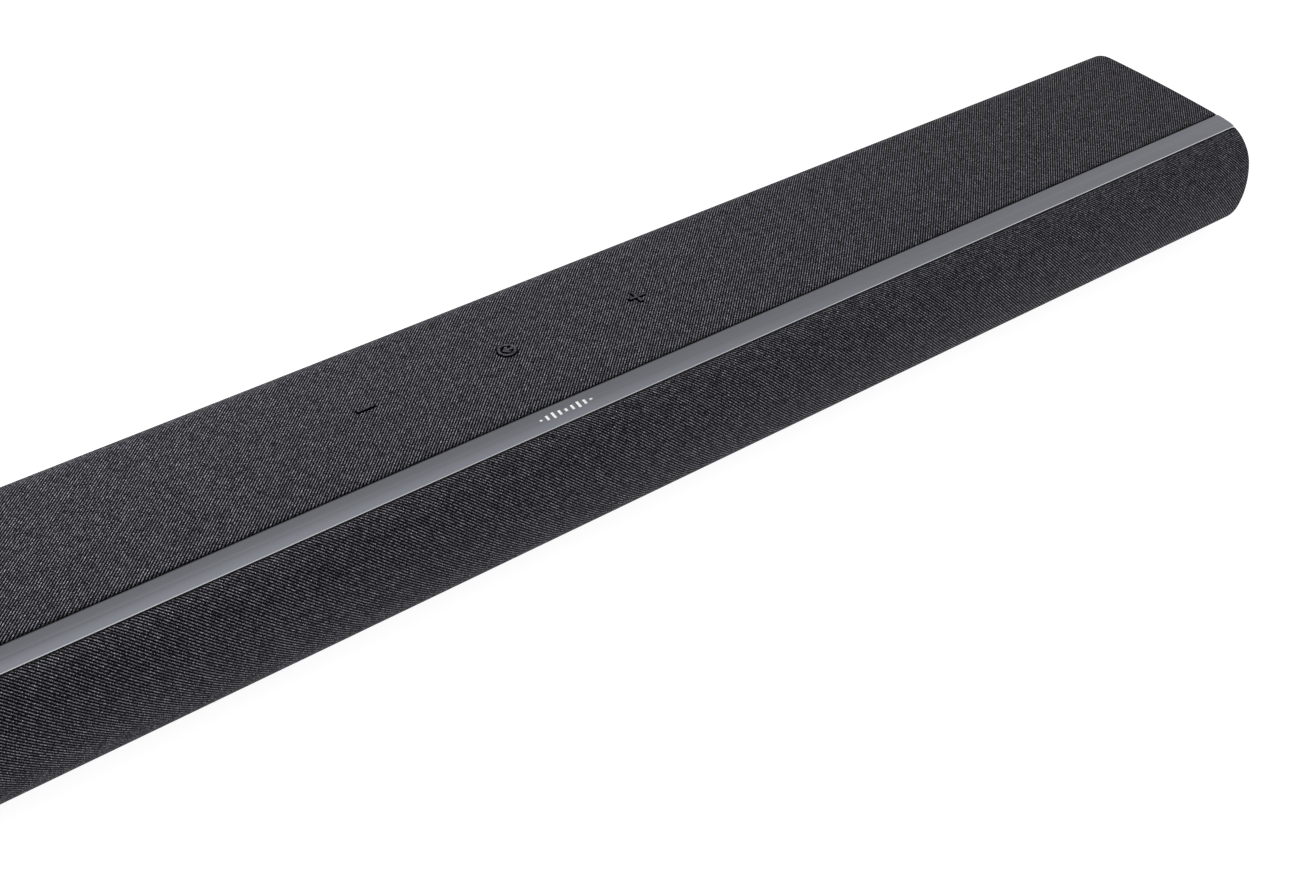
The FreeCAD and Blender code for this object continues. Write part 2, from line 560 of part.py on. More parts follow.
def make_keys():
    stem_r, stem_foot, lap = 1.6, SWITCH_TOP + 1.1, 0.4
    for kind, x in KEYS:
        body_foot, flange_foot = FLANGE_TOP - FLANGE_DEEP / 2, FLANGE_TOP - FLANGE_DEEP
        key = rod(KEY_R, V(x, KEY_Y, body_foot), KEY_TOP - body_foot, Z_AXIS)
        key = key.fuse(rod(KEY_FLANGE_R, V(x, KEY_Y, flange_foot), FLANGE_DEEP, Z_AXIS))
        key = key.fuse(rod(stem_r, V(x, KEY_Y, stem_foot), FLANGE_TOP - stem_foot - lap, Z_AXIS))
        key = key.fuse(mark(kind, x, 0, KEY_TOP - 0.3, HEIGHT + KEY_PROUD)).removeSplitter()
        save(kind + "_key", key, 1)
        plunger = rod(PLUNGER_R, V(x, KEY_Y, SWITCH_TOP - PLUNGER_SUNK), PLUNGER_LEN, Z_AXIS)
        save(kind + "_key_plunger", plunger, 1)


def make_button_board():
    half_long, half_wide, half_switch = 100.0, 9.0, 3.0
    under = BUTTON_BOARD_TOP - BUTTON_BOARD_T
    board = box(-half_long, half_long, KEY_Y - half_wide, KEY_Y + half_wide, under, BUTTON_BOARD_TOP)
    holes = [rod(1.2, V(x, KEY_Y, under - 1), BUTTON_BOARD_T + 2, Z_AXIS) for x in mirror_x([POST_X])]
    save("button_board", board.cut(Part.makeCompound(holes)), 1)
    switches = []
    for kind, x in KEYS:
        body = box(x - half_switch, x + half_switch, KEY_Y - half_switch, KEY_Y + half_switch,
                   BUTTON_BOARD_TOP, SWITCH_TOP)
        well = rod(PLUNGER_R + 0.06, V(x, KEY_Y, SWITCH_TOP - PLUNGER_SUNK - 0.7), 3, Z_AXIS)
        switches.append(body.cut(well))
    save("tact_switches", Part.makeCompound(switches), 3)


# ---- electronics --------------------------------------------------------------------
DECK = BOARD_Z + BOARD_T                     # upper face of the two large boards
BOARD_Y = (-10.0, 38.0)
CHIPS = (                                    # x0, x1, y0, y1 and height of each package
    (-70, -48, 4, 26, 1.6), (-40, -22, 8, 26, 2.2), (-12, 0, -4, 8, 1.2), (62, 74, 6, 22, 1.8),
    (-72, -56, -8, 0, 5.0),
)
CAPACITORS = ((203, 2, 6.5, 24), (203, 18, 6.5, 24), (221, 6, 8.0, 28), (222, 24, 5.0, 16))  # x, y, r, h
SOCKET_FLOOR = 11.7
SOCKETS = {                                  # centre x, half width, height, shell wall, depth
    "power_inlet": (INLET_X, 13.0, 15.0, 1.6, 18.0),
    "hdmi_socket": (HDMI_X, 8.2, 6.6, 0.5, 12.0),
    "optical_socket": (OPTICAL_X, 5.5, 10.0, 1.0, 13.0),
}


def make_boards():
    holes = Part.makeCompound([rod(1.4, place + V(0, 0, BOARD_Z - 2), BOARD_T + 4, Z_AXIS)
                               for place in board_post_places()])
    save("main_board", box(-90, 90, *BOARD_Y, BOARD_Z, DECK).cut(holes), 1)
    save("power_supply_board", box(144, 242, *BOARD_Y, BOARD_Z, DECK).cut(holes), 1)
    save("board_chips", Part.makeCompound([box(*corners, DECK, DECK + tall) for *corners, tall in CHIPS]))
    cans = [rod(r, V(x, y, DECK), tall, Z_AXIS) for x, y, r, tall in CAPACITORS]
    save("supply_capacitors", Part.makeCompound(cans), 4)


def make_heatsink():
    x0, x1, y0, fins, pitch, fin = 4.0, 38.0, -6.0, 8, 4.36, 1.4
    base, tall = 3.0, 16.0
    parts = [box(x0, x1, y0 + i * pitch, y0 + i * pitch + fin, DECK + base - 1, DECK + tall)
             for i in range(fins)]
    sink = box(x0, x1, y0, y0 + 32, DECK, DECK + base).multiFuse(parts)
    save("amplifier_heatsink", sink.removeSplitter(), 1)


def make_transformer():
    """Ferrite core with a window, and the winding that passes through it."""
    x0, x1, y0, y1 = 160.0, 190.0, -4.0, 28.0
    limb, over, clear = 5.0, 3.0, 0.5
    low, high = DECK + 1, DECK + 23
    core = box(x0, x1, y0, y1, low, high)
    winding = box(x0 + limb, x1 - limb, y0 - over, y1 + over, low + 4, high - 4)
    window = box(x0 + limb - clear, x1 - limb + clear, y0 - 4, y1 + 4, low + 4 - clear, high - 4 + clear)
    save("power_transformer", Part.makeCompound([core.cut(window), winding]), 2)


def socket_holes():
    """Clearance holes through the bay's inner wall, one per socket."""
    return [
        box(x - half, x + half, BAY_WALL_Y - WALL - 1, BAY_WALL_Y + 1, SOCKET_FLOOR, SOCKET_FLOOR + tall)
        for x, half, tall, _, _ in SOCKETS.values()
    ]


def make_sockets():
    for name, (x, half, tall, wall, depth) in SOCKETS.items():
        z0, z1 = SOCKET_FLOOR, SOCKET_FLOOR + tall
        middle, y0 = (z0 + z1) / 2, BAY_WALL_Y - depth
        body = box(x - half, x + half, y0, BAY_WALL_Y, z0, z1)
        body = body.cut(box(x - half + wall, x + half - wall, y0 + 2, BAY_WALL_Y + 1, z0 + wall, z1 - wall))
        if name == "power_inlet":
            core = [rod(1.2, V(x + side, y0 + 1, middle), depth - 4, Y_AXIS) for side in (-4.3, 4.3)]
        elif name == "hdmi_socket":
            core = [box(x - 5.5, x + 5.5, y0 + 1, BAY_WALL_Y - 2, middle - 0.5, middle + 0.5)]
        else:
            core = [rod(1.5, V(x, y0 + 1, middle), 4, Y_AXIS)]
        save(name, body.multiFuse(core).removeSplitter(), 1)


def tube(radius, points, bend):
    """Round tube along straight runs joined by tangent arcs of radius `bend`."""
    edges, start = [], points[0]
    for before, here, after in zip(points, points[1:], points[2:]):
        u, w = (before - here).normalize(), (after - here).normalize()
        half = math.acos(max(-1.0, min(1.0, u.dot(w)))) / 2
        reach = bend / math.tan(half)
        a, b = here + u * reach, here + w * reach
        middle = (u + w).normalize()
        centre = here + middle * (bend / math.sin(half))
        edges.append(Part.LineSegment(start, a).toShape())
        edges.append(Part.Arc(a, centre - middle * bend, b).toShape())
        start = b
    edges.append(Part.LineSegment(start, points[-1]).toShape())
    path = Part.Wire(edges)
    ring = Part.Wire(Part.makeCircle(radius, points[0], points[1] - points[0]))
    return path.makePipeShell([ring], True, False)


def make_cables():
    """Speaker leads to each side, and the flat lead from the keys to the main board."""
    lead_r, bend, board, run = 1.4, 5.0, DECK + 2.6, 50.0
    leads = []
    for sign in (-1, 1):
        route = [V(sign * 78, 2, board), V(sign * 104, 2, board), V(sign * 104, 2, 22),
                 V(sign * 128, 16, run), V(sign * 392, 16, run), V(sign * 392, 2, run)]
        leads.append(tube(lead_r, route, bend))
    save("speaker_leads", Part.makeCompound(leads), 2)
    wide, thick, x0, front, back = 10.0, 0.4, -20.0, 14.0, 34.0
    top = BUTTON_BOARD_TOP - BUTTON_BOARD_T
    level = top - 3
    drop = box(x0, x0 + wide, back, back + thick, DECK, level + thick)
    over = box(x0, x0 + wide, front, back + thick, level, level + thick)
    rise = box(x0, x0 + wide, front, front + thick, level, top)
    save("button_ribbon", drop.multiFuse([over, rise]).removeSplitter(), 1)


# ---- fixings ------------------------------------------------------------------------
def screw(head_r, head_h, shank_r, length, seat, axis):
    """Pan-head screw with a hexagon recess: seat is the point under its head."""
    crown = seat - axis * head_h
    head = rod(head_r, crown, head_h, axis)
    rim = [e for e in head.Edges if e.CenterOfMass.distanceToPoint(crown) < 0.01]
    head = head.makeFillet(head_h * 0.35, rim[:1])
    corners = [V(*polar((0, 0), 0.9, 60 * i), 0) for i in range(7)]
    recess = Part.Face(Part.makePolygon(corners)).extrude(V(0, 0, head_h * 0.6))
    recess.Placement = FreeCAD.Placement(crown, FreeCAD.Rotation(Z_AXIS, axis))
    return head.fuse(rod(shank_r, seat, length, axis)).cut(recess).removeSplitter()


def make_inserts():
    """Brass threaded bushes for a wall bracket."""
    back = DEPTH / 2
    inserts = []
    for x in mirror_x([INSERT_X]):
        sleeve = rod(INSERT_R, V(x, back, INSERT_Z), INSERT_LEN, -Y_AXIS)
        inserts.append(sleeve.cut(rod(THREAD_R, V(x, back + 1, INSERT_Z), INSERT_LEN, -Y_AXIS)))
    save("wall_mount_inserts", Part.makeCompound(inserts), 2)


def make_screws():
    housing = [screw(3.0, 2.2, 1.45, 17, V(x, SCREW_Y, SCREW_SEAT_Z), Z_AXIS) for x in SCREW_X]
    save("housing_screws", Part.makeCompound(housing), len(SCREW_X))
    boards = [screw(2.3, 1.5, 1.05, 5, place + V(0, 0, DECK), -Z_AXIS) for place in board_post_places()]
    boards += [screw(2.0, 1.2, 0.95, 5, V(x, KEY_Y, BUTTON_BOARD_TOP - BUTTON_BOARD_T), Z_AXIS)
               for x in mirror_x([POST_X])]
    save("board_screws", Part.makeCompound(boards), len(boards))
    drivers = [screw(2.4, 1.6, 1.05, 4.6, V(p.x, WOOFER_SEAT + FLANGE_T, p.z), -Y_AXIS)
               for p in woofer_screw_places()]
    drivers += [screw(2.0, 1.6, 1.05, 4.6, V(p.x, BAFFLE_BACK + FACE_T, p.z), -Y_AXIS)
                for p in tweeter_screw_places()]
    save("driver_screws", Part.makeCompound(drivers), len(drivers))


make_cloth()
make_strip()
make_top_cover()
make_front_grille()
make_rear_housing()
make_end_caps()
make_feet()
make_baffle()
for number, place in enumerate(WOOFER_X, 1):
    make_woofer(number, place)
make_gaskets()
for number, place in enumerate(TWEETER_X, 1):
    make_tweeter(number, place)
make_keys()
make_button_board()
make_boards()
make_heatsink()
make_transformer()
make_sockets()
make_cables()
make_inserts()
make_screws()
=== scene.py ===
import json
import math

import bmesh
import bpy
from mathutils import Matrix, Vector


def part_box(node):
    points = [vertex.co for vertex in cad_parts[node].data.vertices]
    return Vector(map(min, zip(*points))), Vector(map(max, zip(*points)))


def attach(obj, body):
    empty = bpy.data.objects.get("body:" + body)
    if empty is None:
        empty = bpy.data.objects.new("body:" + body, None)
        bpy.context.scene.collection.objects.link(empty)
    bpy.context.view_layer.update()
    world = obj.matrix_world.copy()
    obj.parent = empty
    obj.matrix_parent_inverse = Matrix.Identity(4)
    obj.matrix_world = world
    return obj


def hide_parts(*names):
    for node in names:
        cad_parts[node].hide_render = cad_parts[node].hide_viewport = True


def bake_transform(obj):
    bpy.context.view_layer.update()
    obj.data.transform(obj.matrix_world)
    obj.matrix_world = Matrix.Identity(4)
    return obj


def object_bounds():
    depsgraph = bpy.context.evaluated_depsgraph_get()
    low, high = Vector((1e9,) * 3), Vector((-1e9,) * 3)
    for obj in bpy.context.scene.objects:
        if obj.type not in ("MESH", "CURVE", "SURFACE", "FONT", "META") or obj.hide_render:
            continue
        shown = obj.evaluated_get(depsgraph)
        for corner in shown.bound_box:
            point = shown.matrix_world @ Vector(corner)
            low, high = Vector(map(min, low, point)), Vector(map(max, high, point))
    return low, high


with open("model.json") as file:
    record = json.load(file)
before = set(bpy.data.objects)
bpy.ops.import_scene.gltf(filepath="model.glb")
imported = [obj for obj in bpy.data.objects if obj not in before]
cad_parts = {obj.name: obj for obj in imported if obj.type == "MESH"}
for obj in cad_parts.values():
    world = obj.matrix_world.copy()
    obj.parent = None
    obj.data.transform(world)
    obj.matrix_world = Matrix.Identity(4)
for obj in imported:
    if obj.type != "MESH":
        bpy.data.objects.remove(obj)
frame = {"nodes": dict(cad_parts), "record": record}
cad_low, cad_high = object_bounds()

# The soundbar's looks. Meshes are drawn in millimetres and scaled to metres at the end of make().
# +X runs along the bar, -Y faces the listener, +Z is up.

MM = 0.001

# ---- sizes, in millimetres ----------------------------------------------------------
HALF = round(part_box("top_fabric")[1].x / MM, 3)         # half of the bar's length
DEPTH = round((cad_high.y - cad_low.y) / MM)
CROWN_Z = round(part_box("top_fabric")[1].z / MM, 2)      # top of the cloth
CROWN_R, CROWN_Y = 1200.0, 12.0
FRONT_R, FRONT_Z = 54.0, 32.5
FRONT_TOP_R, FRONT_BOTTOM_R = 24.0, 23.0
BACK_TOP_R, BACK_BOTTOM_R = 18.0, 6.0
FOOT_PROUD = 2.0
PART_LINE_Y, PART_LINE_Z = -36.0, 40.0                  # the cloths' edges, below and behind

CLOTH, COVER_T, GLUE = 0.8, 2.5, 0.05                   # thicknesses of cloth, cover and glue
CLOTH_GAP = 0.4                                         # cloth's hem to the strip
HEM, END_ROUND = 0.65, 0.45                             # radii of the cloth's hems and ends
THREAD = 0.42                                           # pitch of the cloth's yarns

STRIP_T = 1.6
STRIP_TOP_Y = -33.5                                     # its upper edge
STRIP_LOW_DEG = 109.4                                   # its lower edge, as a heading on the front arc
STRIP_EASE, STRIP_STEP = 3.0, 0.5                       # its bend starts gently over this length
EDGE_ROUND, CHAMFER_WIDE, CHAMFER_DEEP = 0.25, 0.36, 0.15
LEVELS = (1.6, 3.0, 4.6, 3.4, 2.2, 3.4, 4.6, 3.0, 1.6)  # heights of the printed level bars
LEVEL_PITCH, LEVEL_WIDE = 3.2, 1.3
PRINT_PROUD = 0.02

KEYS = {name: round((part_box(name + "_key")[0].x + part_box(name + "_key")[1].x) / 2 / MM, 2)
        for name in ("minus", "source", "plus")}        # X of each key
KEY_Y = 9.0
KEY_R, KEY_FLANGE_R, KEY_FLANGE_T, STEM_R = 6.0, 7.6, 1.2, 1.6
KEY_DROP, KEY_SLACK = 0.15, 0.25                        # its face below the cloth, its flange below the cover
MARK_STROKE, MARK_SIZE, RING_R, MARK_GAP = 1.2, 8.2, 4.3, 0.65
ARROW_TIP, ARROW_HEAD, ARROW_SHORT = 1.4, 3.0, 0.4      # tip to middle, arms, shaft's end to rim
MARK_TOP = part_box("plus_key")[1].z                      # in metres
MARK_SOFT, KEY_SOFT = 0.16, 0.1                         # rounding of their edges

CAP_GAP, CAP_STRIP_GAP = 0.15, 0.1                      # end cap's outline to the cloths and to the strip
CAP_T, CAP_SOFT = 2.6, 0.5
SHARP_DEG = 40
LARGE_FACE = 6.0          # in square millimetres; larger faces are flat, and stay flat-shaded

ROLL = ((15.3, -0.3), (16.2, -0.3), (16.9, -0.7), (17.4, -1.4), (18.0, -1.6), (18.5, -1.3), (18.9, 0.6),
        (20.5, 0.6), (20.5, 1.0), (18.6, 1.0), (18.3, -0.9), (18.0, -1.2), (17.6, -1.0), (17.1, -0.3),
        (16.4, 0.0), (15.3, 0.0))      # surround's section: distance out, and depth behind the cone's lip
SPIDER_IN, SPIDER_OUT, SPIDER_T = 11.35, 17.4, 0.4


# ---- camera and light ---------------------------------------------------------------
CAMERA_PLACE = (-0.28554, -0.50129, 0.51619)            # in metres
CAMERA_YAW, CAMERA_PITCH, CAMERA_ROLL = 35.543, 40.839, 0.276
LENS, SENSOR = 45.37, 36.0


def aim(yaw, pitch, roll):
    """Camera axes as a rotation: yaw from +Y towards +X, pitch downwards, then roll."""
    cy, sy, cp, sp = math.cos(yaw), math.sin(yaw), math.cos(pitch), math.sin(pitch)
    ahead = Vector((sy * cp, cy * cp, -sp))
    side = Vector((cy, -sy, 0))
    above = side.cross(ahead)
    right = math.cos(roll) * side + math.sin(roll) * above
    up = -math.sin(roll) * side + math.cos(roll) * above
    return Matrix((right, up, -ahead)).transposed().to_4x4()


def make_camera():
    data = bpy.data.cameras.new("camera")
    data.lens, data.sensor_width = LENS, SENSOR
    data.clip_start, data.clip_end = 0.01, 50.0
    camera = bpy.data.objects.new("camera", data)
    bpy.context.scene.collection.objects.link(camera)
    turn = aim(math.radians(CAMERA_YAW), math.radians(CAMERA_PITCH), math.radians(CAMERA_ROLL))
    camera.matrix_world = Matrix.Translation(CAMERA_PLACE) @ turn
    bpy.context.scene.camera = camera


def soft_light(name, place, towards, size, watts):
    data = bpy.data.lights.new(name, "AREA")
    data.shape, data.size, data.energy = "DISK", size, watts
    lamp = bpy.data.objects.new(name, data)
    bpy.context.scene.collection.objects.link(lamp)
    lamp.location = place
    lamp.rotation_euler = (Vector(towards) - Vector(place)).to_track_quat("-Z", "Y").to_euler()
    lamp.visible_glossy = lamp.visible_camera = False


def make_studio():
    """A white tent, brighter overhead and on the right, with a soft light behind, over a plain pale floor.

    The camera itself sees plain white."""
    world = bpy.data.worlds.new("studio")
    world.use_nodes = True
    tree = world.node_tree
    ray = tree.nodes.new("ShaderNodeTexCoord").outputs["Generated"]
    split = tree.nodes.new("ShaderNodeSeparateXYZ")
    tree.links.new(ray, split.inputs[0])
    overhead = Field(tree, split.outputs["Z"]).ramp(0.72, 0.98, 0.0, 1.0)
    rightward = Field(tree, split.outputs["X"]).ramp(0.40, 0.85, 0.0, 0.42)
    background = tree.nodes["Background"]
    background.inputs["Color"].default_value = (1, 1, 1, 1)
    seen = Field(tree, tree.nodes.new("ShaderNodeLightPath").outputs["Is Camera Ray"])
    tree.links.new((overhead + rightward + 0.47).max(seen).socket, background.inputs["Strength"])
    bpy.context.scene.world = world
    bpy.context.scene.view_settings.view_transform = "Standard"
    soft_light("back_left_softbox", (-0.25, 0.36, 0.48), (-0.22, 0, 0.05), 0.3, 2.9)
    bpy.ops.mesh.primitive_plane_add(size=200)
    floor = bpy.context.object
    floor.name = "floor"
    floor.data.materials.append(plain_floor())


# ---- material helpers ---------------------------------------------------------------
class Field:
    """A number that varies over a surface. Arithmetic on it adds Math nodes."""

    def __init__(self, tree, socket):
        self.tree, self.socket = tree, socket

    def math(self, operation, *others):
        node = self.tree.nodes.new("ShaderNodeMath")
        node.operation = operation
        for slot, value in zip(node.inputs, (self,) + others):
            if isinstance(value, Field):
                self.tree.links.new(value.socket, slot)
            else:
                slot.default_value = value
        return Field(self.tree, node.outputs[0])

    def __add__(self, other):
        return self.math("ADD", other)

    def __sub__(self, other):
        return self.math("SUBTRACT", other)

    def __mul__(self, other):
        return self.math("MULTIPLY", other)

    def floor(self):
        return self.math("FLOOR")

    def fract(self):
        return self.math("FRACT")

    def cos(self):
        return self.math("COSINE")

    def max(self, other):
        return self.math("MAXIMUM", other)

    def ramp(self, low, high, to_low=0.0, to_high=1.0):
        """Straight ramp from to_low at low to to_high at high, held beyond them."""
        node = self.tree.nodes.new("ShaderNodeMapRange")
        self.tree.links.new(self.socket, node.inputs["Value"])
        for key, value in (("From Min", low), ("From Max", high), ("To Min", to_low), ("To Max", to_high)):
            node.inputs[key].default_value = value
        return Field(self.tree, node.outputs["Result"])


COLOUR_A, COLOUR_B, COLOUR_RESULT = 6, 7, 2             # the Mix node's colour sockets


class Finish:
    """A material being built on one Principled shader."""

    def __init__(self, name, roughness=0.5, metallic=0.0, **constants):
        self.material = bpy.data.materials.new(name)
        self.material.use_nodes = True
        self.tree = self.material.node_tree
        self.shader = self.tree.nodes["Principled BSDF"]
        self.shader.inputs["Roughness"].default_value = roughness
        self.shader.inputs["Metallic"].default_value = metallic
        for key, value in constants.items():
            self.shader.inputs[key.replace("_", " ")].default_value = value

    def node(self, kind, **inputs):
        made = self.tree.nodes.new(kind)
        for key, value in inputs.items():
            socket = made.inputs[key.replace("_", " ")]
            if isinstance(value, Field):
                self.tree.links.new(value.socket, socket)
            elif isinstance(value, bpy.types.NodeSocket):
                self.tree.links.new(value, socket)
            else:
                socket.default_value = value
        return made

    def place(self):
        """Coordinates on the object, in metres."""
        return self.node("ShaderNodeTexCoord").outputs["Object"]

    def noise(self, scale, detail=2.0, stretch=(1, 1, 1), vector=None, roughness=0.5):
        mapping = self.node("ShaderNodeMapping", Vector=vector or self.place())
        mapping.inputs["Scale"].default_value = stretch
        made = self.node("ShaderNodeTexNoise", Vector=mapping.outputs[0], Scale=scale, Detail=detail,
                         Roughness=roughness)
        return Field(self.tree, made.outputs["Fac"])

    def vector(self, x, y, z):
        return self.node("ShaderNodeCombineXYZ", X=x, Y=y, Z=z).outputs[0]

    def blend(self, factor, a, b):
        """Colour a where factor is 0 and colour b where it is 1."""
        mix = self.tree.nodes.new("ShaderNodeMix")
        mix.data_type = "RGBA"
        self.tree.links.new(factor.socket, mix.inputs["Factor"])
        for key, value in ((COLOUR_A, a), (COLOUR_B, b)):
            if isinstance(value, bpy.types.NodeSocket):
                self.tree.links.new(value, mix.inputs[key])
            else:
                mix.inputs[key].default_value = (*value, 1.0)
        return mix.outputs[COLOUR_RESULT]

    def colour(self, socket):
        self.tree.links.new(socket, self.shader.inputs["Base Color"])

    def rough(self, field):
        self.tree.links.new(field.socket, self.shader.inputs["Roughness"])

    def height(self):
        """Height above the floor, in metres."""
        return Field(self.tree, self.node("ShaderNodeSeparateXYZ", Vector=self.place()).outputs["Z"])

    def bump(self, height, distance, strength):
        made = self.node("ShaderNodeBump", Height=height, Distance=distance, Strength=strength)
        self.tree.links.new(made.outputs[0], self.shader.inputs["Normal"])


def plain_floor():
    finish = Finish("floor", roughness=0.9)
    speck = finish.noise(3.0)
    finish.colour(finish.blend(speck, (0.19, 0.19, 0.19), (0.21, 0.21, 0.21)))
    finish.shader.inputs["Emission Color"].default_value = (1, 1, 1, 1)
    finish.shader.inputs["Emission Strength"].default_value = 0.93
    return finish.material


# ---- materials ----------------------------------------------------------------------
def twill_cloth():
    """Charcoal melange 2/2 twill: flecked warp yarns over a dark weft, with painted shade between its ribs
    and yarns and along the strip's edge.

    The weave map holds millimetres along and across the cloth; i and j count warp and weft yarns."""
    finish = Finish("twill_cloth", roughness=0.9, Sheen_Weight=0.04, Sheen_Roughness=0.4,
                    Specular_IOR_Level=0.06)
    uv = finish.tree.nodes.new("ShaderNodeUVMap")
    uv.uv_map = "weave"
    split = finish.node("ShaderNodeSeparateXYZ", Vector=uv.outputs[0])
    x = Field(finish.tree, split.outputs["X"]) * (1 / THREAD)
    y = Field(finish.tree, split.outputs["Y"]) * (1 / THREAD)
    i, j = x.floor(), y.floor()
    quarter = math.pi / 2
    warp_lift = ((y - i - 1.0) * quarter).cos()
    weft_lift = ((j - x - 2.0) * quarter).cos()
    warp_round = ((x.fract() - 0.5) * math.pi).cos()
    weft_round = ((y.fract() - 0.5) * math.pi).cos()
    warp = warp_lift * 0.5 + warp_round * 0.45 + 0.1
    weft = weft_lift * 0.5 + weft_round * 0.45
    seen = (warp - weft).ramp(-0.12, 0.12)
    height = warp.max(weft)
    warp_fleck = finish.noise(1.0, 2.0, vector=finish.vector(i * 5.7, y * 0.80, 3.0), roughness=0.6)
    weft_fleck = finish.noise(1.0, 2.0, vector=finish.vector(x * 0.62, j * 5.7, 9.0), roughness=0.6)
    cloud = finish.noise(260.0, 3.0)
    fuzz = finish.noise(2600.0, 1.0)
    # painted shade in the furrow between neighbouring twill ribs
    painted_rib_shade = ((y - x - 0.5) * quarter).cos().ramp(-0.85, 0.6, 0.08, 1.0)
    shade = (warp_fleck + cloud * 0.12 + fuzz * 0.15 - 0.135).ramp(0.28, 0.74)
    warp_tint = finish.blend(shade.math("POWER", 2.2), (0.012, 0.0117, 0.0140), (0.70, 0.676, 0.79))
    weft_tint = finish.blend(weft_fleck.ramp(0.40, 0.75), (0.001, 0.001, 0.0012), (0.0155, 0.015, 0.0176))
    painted_strip_shade = Field(finish.tree, split.outputs["Y"]).ramp(0.2, 1.2, 0.04, 1.0)      # painted shade: darker near the strip's edge, where the crease is shaded
    # painted shade: darker where a yarn dips below its neighbours, in the rib furrows and by the strip
    painted_shade_mask = height.ramp(0.46, 0.92) * painted_rib_shade * painted_strip_shade
    yarn = finish.blend(seen, weft_tint, warp_tint)
    # where the painted shade is full, the colour is near black
    finish.colour(finish.blend(painted_shade_mask, (0.0006, 0.0006, 0.0007), yarn))
    finish.bump(height + fuzz * 0.15, 0.00015, 0.9)
    return finish.material


def anodised(name, low, high, roughness):
    """Bead-blasted, anodised aluminium."""
    finish = Finish(name, roughness=roughness, metallic=1.0)
    blast = finish.noise(2600.0, 2.0)
    drift = finish.noise(40.0, 2.0)
    finish.colour(finish.blend(blast * 0.75 + drift * 0.25, low, high))
    finish.rough(blast.ramp(0.3, 0.7, roughness - 0.03, roughness + 0.03))
    finish.bump(blast, 0.00001, 0.5)
    return finish.material


def moulded(name, low, high, roughness=0.55, grain=1600.0, depth=0.00003):
    """Moulded plastic or rubber with a fine spark-eroded grain."""
    finish = Finish(name, roughness=roughness, Specular_IOR_Level=0.4)
    grit = finish.noise(grain, 3.0)
    drift = finish.noise(14.0, 2.0)
    finish.colour(finish.blend(grit * 0.7 + drift * 0.3, low, high))
    finish.rough(grit.ramp(0.3, 0.7, roughness - 0.08, roughness + 0.08))
    finish.bump(grit, depth, 0.5)
    return finish.material


def turned(name, low, high, roughness=0.35):
    """Bare or plated metal with fine machining streaks."""
    finish = Finish(name, roughness=roughness, metallic=1.0)
    streak = finish.noise(1500.0, 2.0, stretch=(1, 1, 0.1))
    finish.colour(finish.blend(streak, low, high))
    finish.rough(streak.ramp(0.3, 0.7, roughness - 0.06, roughness + 0.08))
    return finish.material


def key_cap():
    """Marks flecked like the cloth on top; their sides, and the key below them, are painted black as shade in
    the gap round each mark.
    """
    finish = Finish("key_cap", roughness=0.9, Specular_IOR_Level=0.04)
    above_painted_shade = finish.height().ramp(MARK_TOP - 0.00012, MARK_TOP - 0.00004)
    fleck = finish.noise(1500.0, 2.0)
    top = finish.blend(fleck.ramp(0.35, 0.68), (0.010, 0.0097, 0.0115), (0.115, 0.111, 0.131))
    # below the marks' tops the colour is painted near-black: shade on the sides and in the gap round each
    # mark
    finish.colour(finish.blend(above_painted_shade, (0.001, 0.001, 0.001), top))
    finish.bump(fleck, 0.00008, 0.6)
    return finish.material


def circuit_board():
    finish = Finish("circuit_board", roughness=0.4)
    tracks = finish.node("ShaderNodeTexVoronoi", Vector=finish.place(), Scale=500.0)
    cell = Field(finish.tree, tracks.outputs["Distance"])
    finish.colour(finish.blend(cell.ramp(0.3, 0.5), (0.008, 0.06, 0.025), (0.012, 0.10, 0.04)))
    finish.bump(cell, 0.00002, 0.4)
    return finish.material


# ---- the bar's cross-section ---------------------------------------------------------
def polar(centre, radius, degrees):
    a = math.radians(degrees)
    return Vector((centre[0] + radius * math.cos(a), centre[1] + radius * math.sin(a)))


def heading(a, b):
    return math.degrees(math.atan2(b[1] - a[1], b[0] - a[0]))


def meet(c1, r1, c2, r2):
    """The point at r1 from c1 and r2 from c2 that lies nearer the front."""
    gap = math.dist(c1, c2)
    along = (gap * gap + r1 * r1 - r2 * r2) / (2 * gap)
    off = math.sqrt(r1 * r1 - along * along)
    uy, uz = (c2[0] - c1[0]) / gap, (c2[1] - c1[1]) / gap
    base = (c1[0] + along * uy, c1[1] + along * uz)
    return min((base[0] - off * uz, base[1] + off * uy), (base[0] + off * uz, base[1] - off * uy))


CROWN = (CROWN_Y, CROWN_Z - CROWN_R)
FRONT = (FRONT_R - DEPTH / 2, FRONT_Z)
FRONT_TOP = meet(CROWN, CROWN_R - FRONT_TOP_R, FRONT, FRONT_R - FRONT_TOP_R)
LOW_Z = FOOT_PROUD + FRONT_BOTTOM_R
FRONT_BOTTOM = (FRONT[0] - math.sqrt((FRONT_R - FRONT_BOTTOM_R) ** 2 - (FRONT_Z - LOW_Z) ** 2), LOW_Z)
BACK_Y = DEPTH / 2 - BACK_TOP_R
BACK_TOP = (BACK_Y, CROWN[1] + math.sqrt((CROWN_R - BACK_TOP_R) ** 2 - (BACK_Y - CROWN_Y) ** 2))
STRIP_TOP_DEG = math.degrees(math.acos((STRIP_TOP_Y - CROWN_Y) / CROWN_R))
CROWN_FRONT_DEG, CROWN_BACK_DEG = heading(CROWN, FRONT_TOP), heading(CROWN, BACK_TOP)
FRONT_TOP_DEG, FRONT_LOW_DEG = heading(FRONT, FRONT_TOP), heading(FRONT, FRONT_BOTTOM) % 360


